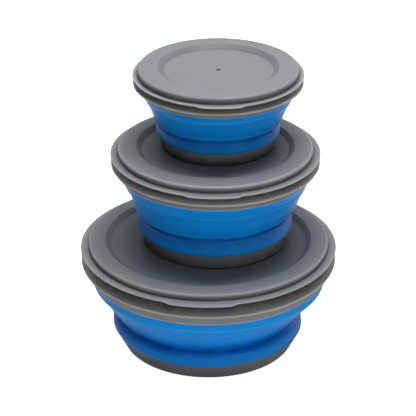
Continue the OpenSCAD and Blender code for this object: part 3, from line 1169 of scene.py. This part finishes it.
@dataclass
class Studio:
    """White floor and background, soft lamps and the camera.

    Attributes:
        camera_target: Point that the camera and the lamps face.
        camera_distance: Distance of the camera from it.
        camera_elevation: Angle of the camera over the floor, in degrees.
        lens: Focal length, in millimetres.
        floor_half: Half the width of the floor.
        floor_drop: How far the floor lies under the set.
        floor_grey: Colour of the floor where it scatters light.
        floor_lift: Glow of the floor close to the set, where it is seen.
        floor_reach: Distances over which that glow rises to 1.
        floor_shine: Floor in gloss: close to the set, in front of it and behind it.
        shine_reach: Distances over which the first of these gives way to the others.
        shine_depth: Places, front to back, over which the second gives way to the third.
        room: Room in gloss, in front of the set and behind it.
        room_turn: Directions, front to back, over which one gives way to the other.
        lamps: The lamps.
    """

    camera_target: tuple[float, float, float] = (-0.0003, 0.0, 0.11312)
    camera_distance: float = 1.5
    camera_elevation: float = 26.28
    lens: float = 166.95
    floor_half: float = 6.0
    floor_drop: float = 0.0002
    floor_grey: float = 0.92
    floor_lift: float = 0.93
    floor_reach: tuple[float, float] = (0.08, 0.40)
    floor_shine: tuple[float, float, float] = (0.36, 0.06, 1.0)
    shine_reach: tuple[float, float] = (0.14, 0.28)
    shine_depth: tuple[float, float] = (-0.30, 0.05)
    room: tuple[float, float] = (0.08, 0.60)
    room_turn: tuple[float, float] = (-0.5, 0.3)
    lamps: tuple[Lamp, ...] = (
        Lamp("high", (0.0, -0.05, 1.6), (1.2, 0.4), 9.8),
        Lamp("top", (0.05, 0.03, 0.80), (0.40, 0.40), 3.0),
        Lamp("front", (0.0, -0.75, 1.0), (0.9, 0.4), 1.5),
        Lamp("back", (0.0, 0.75, 1.0), (0.9, 0.6), 1.5),
        Lamp("low_front", (-0.25, -0.75, 0.12), (0.6, 0.2), 0.25),
        Lamp("low_right", (0.7, -1.05, 0.25), (0.4, 0.4), 1.9),
        Lamp("back_right", (0.9, 0.8, 0.40), (0.4, 0.6), 1.2),
    )

    def build(self) -> None:
        """Makes the camera, the floor, the lamps and the world."""
        self.make_camera()
        self.make_floor()
        for lamp in self.lamps:
            self.make_lamp(lamp)
        self.make_world()
        bpy.context.scene.view_settings.view_transform = "Standard"

    def make_camera(self) -> None:
        """Places the camera in front of the set, looking down on it."""
        data = bpy.data.cameras.new("camera")
        data.lens = self.lens
        camera = bpy.data.objects.new("camera", data)
        tilt = math.radians(self.camera_elevation)
        away = Vector((0.0, -math.cos(tilt), math.sin(tilt))) * self.camera_distance
        camera.location = Vector(self.camera_target) + away
        camera.rotation_euler = (math.pi / 2 - tilt, 0.0, 0.0)
        bpy.context.scene.collection.objects.link(camera)
        bpy.context.scene.camera = camera

    def make_lamp(self, lamp: Lamp) -> None:
        """Hangs one lamp, facing the set.

        Args:
            lamp: The lamp.
        """
        data = bpy.data.lights.new(lamp.name, "AREA")
        data.shape = "RECTANGLE"
        data.size, data.size_y = lamp.size
        data.energy = lamp.power
        hung = bpy.data.objects.new(lamp.name, data)
        hung.location = lamp.place
        hung.visible_camera = False
        away = Vector(lamp.place) - Vector(self.camera_target)
        hung.rotation_euler = away.to_track_quat("Z", "Y").to_euler()
        bpy.context.scene.collection.objects.link(hung)

    def make_floor(self) -> None:
        """Lays the floor."""
        half, drop = self.floor_half, self.floor_drop
        corners = [(-half, -half, -drop), (half, -half, -drop), (half, half, -drop), (-half, half, -drop)]
        mesh = bpy.data.meshes.new("floor")
        mesh.from_pydata(corners, [], [[0, 1, 2, 3]])
        mesh.materials.append(self.floor_paper())
        floor = bpy.data.objects.new("floor", mesh)
        bpy.context.scene.collection.objects.link(floor)

    def floor_paper(self) -> bpy.types.Material:
        """Pale paper that keeps shadows and is lifted to white where it is seen.

        Gloss on the set shows it at levels of its own: one close to the set, one in front and one behind.

        Returns:
            The material.
        """
        material = bpy.data.materials.new("floor_paper")
        material.use_nodes = True
        material.node_tree.nodes.clear()
        shading = Shading(material.node_tree)
        grey = self.floor_grey
        paper = shading.add("ShaderNodeBsdfDiffuse", {"Color": (grey, grey, grey, 1.0)})
        spot = shading.add("ShaderNodeTexCoord").outputs["Object"]
        away = shading.add("ShaderNodeVectorMath", {0: spot}, operation="LENGTH").outputs["Value"]
        depth = shading.add("ShaderNodeSeparateXYZ", {0: spot}).outputs["Y"]
        path = shading.add("ShaderNodeLightPath").outputs
        seen = shading.math("MAXIMUM", path["Is Camera Ray"], path["Is Transmission Ray"])
        lift = shading.math("MULTIPLY", seen, shading.spread(away, *self.floor_reach, self.floor_lift, 1.0))
        glow = shading.add("ShaderNodeEmission", {"Strength": lift})
        white = shading.add("ShaderNodeAddShader", {0: paper.outputs[0], 1: glow.outputs[0]})
        near, front, behind = self.floor_shine
        far = shading.spread(depth, *self.shine_depth, front, behind)
        table = shading.spread(away, *self.shine_reach, near, far)
        shine = shading.add("ShaderNodeEmission", {"Strength": table})
        both = shading.add(
            "ShaderNodeMixShader", {0: path["Is Glossy Ray"], 1: white.outputs[0], 2: shine.outputs[0]}
        )
        shading.add("ShaderNodeOutputMaterial", {"Surface": both.outputs[0]})
        return material

    def make_world(self) -> None:
        """White where it is seen, and no light of its own on the set.

        Gloss on the set shows a bright room behind it and a dim one in front, with a smooth step between.
        """
        world = bpy.data.worlds.new("studio")
        world.use_nodes = True
        world.node_tree.nodes.clear()
        shading = Shading(world.node_tree)
        path = shading.add("ShaderNodeLightPath").outputs
        heading = shading.add("ShaderNodeTexCoord").outputs["Generated"]
        depth = shading.add("ShaderNodeSeparateXYZ", {0: heading}).outputs["Y"]
        backdrop = shading.spread(depth, *self.room_turn, *self.room)
        shine = shading.math("MULTIPLY", path["Is Glossy Ray"], backdrop)
        seen = shading.math("MAXIMUM", path["Is Camera Ray"], path["Is Transmission Ray"])
        sky = shading.add("ShaderNodeBackground", {"Strength": shading.math("MAXIMUM", seen, shine)})
        shading.add("ShaderNodeOutputWorld", {"Surface": sky.outputs[0]})
        bpy.context.scene.world = world


def main() -> None:
    """Builds the studio, the finishes and the three bowls, and logs each piece's faces."""
    logging.basicConfig(level=logging.INFO, format="%(name)s: %(message)s")
    Studio().build()
    groups = Groups(grain=moulded_grain_group(), wear_and_light=wear_highlight_and_shade_group())
    dress = {finish.slot: finish.material(groups) for finish in FINISHES}
    for size in Size:
        place = Place.read(size)
        for kind in (HardBase, FoldingWall, RimRing, Lid):
            piece = kind(place, SHAPES[size]).build(dress[kind.slot])
            LOG.info("%s: %d faces", piece.name, len(piece.data.polygons))


if __name__ == "__main__":
    main()
